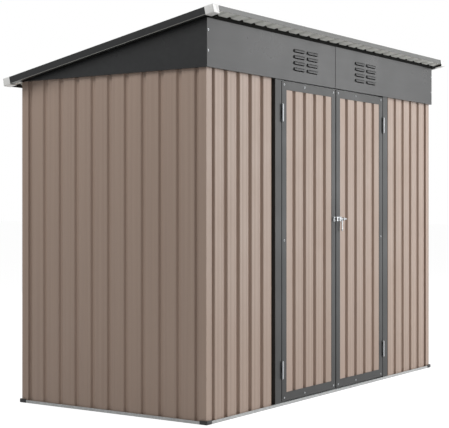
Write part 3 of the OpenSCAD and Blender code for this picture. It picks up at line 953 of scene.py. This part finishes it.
screw = start_piece("screw", bpy.ops.mesh.primitive_cylinder_add, vertices=SCREW_SIDES,
                    radius=WASHER_R, depth=WASHER_T, location=(0, 0, WASHER_T / 2))
pick(screw, "faces", lambda f: f.normal.z > FACING)
last = (WASHER_R, WASHER_T)
for ring in HEAD_RINGS + RECESS_RINGS:
    ring_in(*ring, *last)
    last = ring
bpy.ops.object.mode_set(mode="OBJECT")
screw.data.materials.append(finishes["zinc"])
smooth(screw, SCREW_SMOOTH)
print("screw", len(screw.data.polygons), "faces")

# %% [markdown]
# Screws on the doors and the fascia
#
# Each leaf's frame has a screw at every corner, one on each rail and one about halfway up the
# hinge stile. The fascia has two at each end. Single screws could ride on the shed one by one,
# but a row that is joined is one piece to look after.

# %% Screws on the door leaves
TO_FRONT = (QUARTER_TURN, 0, 0)
FACING_UP = (0, 0, 0)
CORNER_INSET = 0.016
MID_SCREW_Z = 0.794
RAIL_SCREW_SHARE = 0.40


def screw_row(name, body, spots, turn, row_turn=(0, 0, 0), row_place=(0, 0, 0)):
    """Screws at the spots, turned the same way, joined into one piece and laid down."""
    parts = []
    for number, spot in enumerate(spots):
        parts.append(lay(copy_of(screw, f"{name}_{number}"), turn, spot))
    row = lay(join(parts, name), row_turn, row_place)
    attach(row, body)
    print(name, len(parts), "screws")


for side in ("left", "right"):
    hinge_low, hinge_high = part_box(f"door_{side}_hinge_stile")
    meet_low, meet_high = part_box(f"door_{side}_meeting_stile")
    hinge_mid = (hinge_low.x + hinge_high.x) / 2
    meet_mid = (meet_low.x + meet_high.x) / 2
    bottom, top = hinge_low.z + CORNER_INSET, hinge_high.z - CORNER_INSET
    face = hinge_low.y
    left, right = sorted((hinge_mid, meet_mid))
    centre = left + RAIL_SCREW_SHARE * (right - left)
    spots = [(x, face, z) for x in (hinge_mid, centre, meet_mid) for z in (bottom, top)]
    spots.append((hinge_mid, face, MID_SCREW_Z))
    screw_row(f"door_{side}_screws", f"door_{side}", spots, TO_FRONT)

# %% Screws on the fascia
FASCIA_INSET = 0.009
FASCIA_HEIGHTS = (1.639, 1.729)
fascia_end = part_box("fascia_right")[1].x - FASCIA_INSET
fascia_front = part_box("gable_left")[0].y - SHEET_T

fascia_spots = [(x, fascia_front, z) for x in (-fascia_end, fascia_end) for z in FASCIA_HEIGHTS]
screw_row("fascia_screws", "shed", fascia_spots, TO_FRONT)

# %% [markdown]
# Screws on the roof
#
# Roof sheets are screwed through their ribs, where no water stands, into what lies below. Every
# second rib has a screw in each of four rows. They are set on a level roof first, because there
# each place is a plain sum, and the whole set is then laid on the slope.

# %% Screws on the roof
BEAM_ROWS = 2
ROW_INSET = 0.070
rib_top = SHEET_T - RIB["depth"]
beam_rows = [roof_length * (1 + 2 * i) / (2 * BEAM_ROWS) for i in range(BEAM_ROWS)]

roof_spots = []
for row in [ROW_INSET] + beam_rows + [roof_length - ROW_INSET]:
    for rib in rib_rows[::2]:
        lapped = SHEET_T if rib == LAP_X else 0
        roof_spots.append((rib, row, rib_top + lapped))
screw_row("roof_screws", "shed", roof_spots, FACING_UP, roof_turn, roof_origin)
bpy.data.objects.remove(screw)

# %% [markdown]
# Hemmed trim
#
# The side trims end below in a folded hem, painted pale so that it shows as a bright line: partly
# the bare edge of the sheet, partly a painted highlight along the trim's lower edge. A thin box
# would do from afar, but a real hem is a strip turned back on itself: a plane is extruded outwards
# and up from its lower edge, and the strip gets the sheet's thickness.

# %% Hems of the side trims
HEM_H = 0.0026
HEM_FOLD = 0.0014
HEM_TURN_UP = HEM_H * 0.8
HEM_T = 0.0006
HEM_ANGLE = 40
TRIM_BOTTOM = -0.013
hem_start, hem_end = CAP_SIZE, roof_length - CAP_SIZE
trim_face = roof_half - CAP_T

hem = start_piece(
    "hem_left", bpy.ops.mesh.primitive_plane_add, scale=(HEM_H, hem_end - hem_start, 1), size=1,
    location=(0, (hem_start + hem_end) / 2, TRIM_BOTTOM + HEM_H / 2), rotation=(0, -QUARTER_TURN, 0))
pick(hem, "edges", lambda e: all(v.co.z < TRIM_BOTTOM + TINY for v in e.verts))
bpy.ops.mesh.extrude_edges_move(TRANSFORM_OT_translate={"value": (-HEM_FOLD, 0, 0)})
bpy.ops.mesh.extrude_edges_move(TRANSFORM_OT_translate={"value": (0, 0, HEM_TURN_UP)})
bpy.ops.mesh.select_all(action="SELECT")
bpy.ops.mesh.normals_make_consistent(inside=False)
bpy.ops.object.mode_set(mode="OBJECT")
# Pale paint on the hem, partly a painted highlight along the trim's lower edge.
hem.data.materials.append(pale_hem_highlight)
apply_modifier(hem, "SOLIDIFY", thickness=HEM_T, offset=0, use_even_offset=True)
soften(hem, HEM_T / 3, HEM_ANGLE)
right_hem = copy_of(hem, "hem_right")
lay(right_hem, (0, 0, 2 * QUARTER_TURN), (trim_face, hem_start + hem_end, 0))
lay(hem, place=(-trim_face, 0, 0))
hems = lay(join([hem, right_hem], "side_trim_hems"), roof_turn, roof_origin)
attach(hems, "shed")
print("hems", round(hem_end - hem_start, 3), "m long")

# %% [markdown]
# Closure strips
#
# Black foam strips seal the gap between the roof and the sheets below it, where light and wasps
# would come in at the ribs. They are also painted shadow: a dark line put where the overhang
# shades the top of the fascia and gables. The front one has teeth that fill the ribs: a long box
# is cut where the ribs bend and its upper edges are drawn up.

# %% One closure strip
STRIP_H = 0.014
STRIP_T = 0.006
STRIP_EDGE = 0.0008
STRIP_ANGLE = 60


def shadow_strip(name, length, teeth):
    """Strip along X below z = 0 with its teeth in the ribs above; painted shadow, too."""
    shade_strip = start_piece(name, bpy.ops.mesh.primitive_cube_add, scale=(length, STRIP_T, STRIP_H),
                        size=1, location=(0, 0, -STRIP_H / 2))
    cut_bends(teeth, RIB)
    reach = RIB["floor"] / 2 + TINY
    if teeth:
        push(shade_strip, lambda v: v.co.z > -TINY and any(abs(v.co.x - c) < reach for c in teeth),
             (0, 0, -RIB["depth"]))
    bpy.ops.object.mode_set(mode="OBJECT")
    # Near-black foam, partly painted shadow where the overhang shades the fascia and gables.
    shade_strip.data.materials.append(shadow_foam)
    soften(shade_strip, STRIP_EDGE, STRIP_ANGLE)
    return shade_strip


print("shade_strip", STRIP_H * 1000, "by", STRIP_T * 1000, "mm")

# %% Closure strips
wall_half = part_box("gable_right")[1].x
front_line = (fascia_front - roof_front) / math.cos(roof_slope)
inner_ribs = [c for c in rib_rows if abs(c) < wall_half - RIB["face"]]
side_length = wall_depth / math.cos(roof_slope)

front_shadow_strip = shadow_strip("front_shadow_strip", 2 * wall_half, inner_ribs)
shadow_strips = [lay(front_shadow_strip, place=(0, front_line - STRIP_T / 2, 0))]
for side in (-1, 1):
    shade_strip = shadow_strip(f"side_shadow_strip_{side}", side_length, [])
    place = (side * (wall_half + STRIP_T / 2), front_line + side_length / 2, 0)
    shadow_strips.append(lay(shade_strip, (0, 0, QUARTER_TURN), place))
shadow_closure = lay(join(shadow_strips, "shadow_closure_strips"), roof_turn, roof_origin)
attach(shadow_closure, "shed")
print("closure strips", len(inner_ribs), "teeth")

# %% [markdown]
# Hinge pins
#
# Each hinge pin ends in a small riveted head above and below its knuckles. A cylinder is the
# start, and its outer rim gets a wide bevel so that the head looks hammered. A flattened ball
# would be too smooth for that.

# %% Hinge pin heads
PIN_HEAD_R = 0.0036
PIN_HEAD_H = 0.0026
PIN_HEAD_ROUND = 0.0016
PIN_HEAD_SIDES = 20
ROUND_STEPS = 4
HINGE_L = 0.082
KNUCKLE_R = 0.005
METAL_SMOOTH = 40


def pin_head(name, spot, up):
    """Head on a spot at the end of a pin, with its round rim up (1) or down (-1)."""
    head = start_piece(name, bpy.ops.mesh.primitive_cylinder_add, vertices=PIN_HEAD_SIDES,
                       radius=PIN_HEAD_R, depth=PIN_HEAD_H)
    pick(head, "edges", lambda e: all(v.co.z * up > 0 for v in e.verts))
    bpy.ops.mesh.bevel(offset=PIN_HEAD_ROUND, segments=ROUND_STEPS, affect="EDGES")
    bpy.ops.object.mode_set(mode="OBJECT")
    head.data.materials.append(finishes["zinc"])
    lay(head, place=Vector(spot) + Vector((0, 0, up * PIN_HEAD_H / 2)))
    smooth(head, METAL_SMOOTH)
    return head


heads = []
for side in ("left", "right"):
    low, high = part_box(f"jamb_hinges_{side}")
    pin_x = high.x - KNUCKLE_R if side == "left" else low.x + KNUCKLE_R
    pin_y = low.y + KNUCKLE_R
    ends = [(low.z, -1), (low.z + HINGE_L, 1), (high.z - HINGE_L, -1), (high.z, 1)]
    for z, up in ends:
        heads.append(pin_head(f"pin_head_{len(heads)}", (pin_x, pin_y, z), up))
pin_heads = join(heads, "hinge_pin_heads")
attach(pin_heads, "shed")
print("pin heads", len(heads))

# %% [markdown]
# Bolt
#
# The bolt is a zinc rod with a flat handle welded on, which hangs down and ends in an eye for a
# padlock. The loaded rod is right in size but has sharp ends and no eye. The rod starts as a
# cylinder with bevelled ends; the handle as a small disc, inset for the eye, bridged through and
# drawn upwards from its top faces to the rod.

# %% Bolt rod
BOLT_R = 0.005
BOLT_SIDES = 28
BOLT_ROUND = 0.0015
bolt_low, bolt_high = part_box("bolt_rod")
rod_y = bolt_low.y + BOLT_R
rod_z = bolt_high.z - BOLT_R

rod = start_piece(
    "rod", bpy.ops.mesh.primitive_cylinder_add, vertices=BOLT_SIDES, radius=BOLT_R,
    depth=bolt_high.x - bolt_low.x, location=((bolt_low.x + bolt_high.x) / 2, rod_y, rod_z),
    rotation=(0, QUARTER_TURN, 0))
pick(rod, "faces", lambda f: abs(f.normal.x) > FACING)
bpy.ops.mesh.region_to_loop()
bpy.ops.mesh.bevel(offset=BOLT_ROUND, segments=ROUND_STEPS, affect="EDGES")
bpy.ops.object.mode_set(mode="OBJECT")
print("rod", round(bolt_high.x - bolt_low.x, 3), "m long")

# %% Bolt handle
HANDLE_W = 0.010
HANDLE_T = 0.004
HANDLE_SIDES = 24
HANDLE_EDGE = 0.0006
HANDLE_ANGLE = 50
EYE_R = 0.0026
ABOVE_EYE = EYE_R * 1.2
UPWARD = 0.6
DRAW_UP = 0.02
STRAP_W = 0.006
STRAP_INSET = 0.003
handle_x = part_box("bolt_housing")[1].x - STRAP_W - STRAP_INSET - HANDLE_W / 2
eye_z = bolt_low.z + HANDLE_W / 2


def above_eye(face):
    """Whether a face of the disc looks up and lies above the eye."""
    height = sum(v.co.z for v in face.verts) / len(face.verts)
    return face.normal.z > UPWARD and height > eye_z + ABOVE_EYE


handle = start_piece(
    "handle", bpy.ops.mesh.primitive_cylinder_add, vertices=HANDLE_SIDES, radius=HANDLE_W / 2,
    depth=HANDLE_T, location=(handle_x, rod_y, eye_z), rotation=(QUARTER_TURN, 0, 0))
pick(handle, "faces", lambda f: abs(f.normal.y) > FACING)
bpy.ops.mesh.inset(thickness=HANDLE_W / 2 - EYE_R, use_individual=True)
bpy.ops.mesh.bridge_edge_loops()
pick(handle, "faces", above_eye)
bpy.ops.mesh.extrude_region_move(TRANSFORM_OT_translate={"value": (0, 0, DRAW_UP)})
bpy.ops.transform.resize(value=(1, 1, 0), center_override=(handle_x, rod_y, rod_z))
bpy.ops.object.mode_set(mode="OBJECT")
soften(handle, HANDLE_EDGE, HANDLE_ANGLE)
bolt = join([rod, handle], "bolt_rod_with_handle")
bolt.data.materials.append(finishes["zinc"])
smooth(bolt, METAL_SMOOTH)
stand_for(bolt, "bolt_rod")
print("bolt", len(bolt.data.polygons), "faces")

# %% [markdown]
# Size
#
# The dressed shed has to keep the size of the loaded one, so its box is printed.

# %% Size and finish
low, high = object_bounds()
print("visual size", [round(x, 3) for x in high - low])
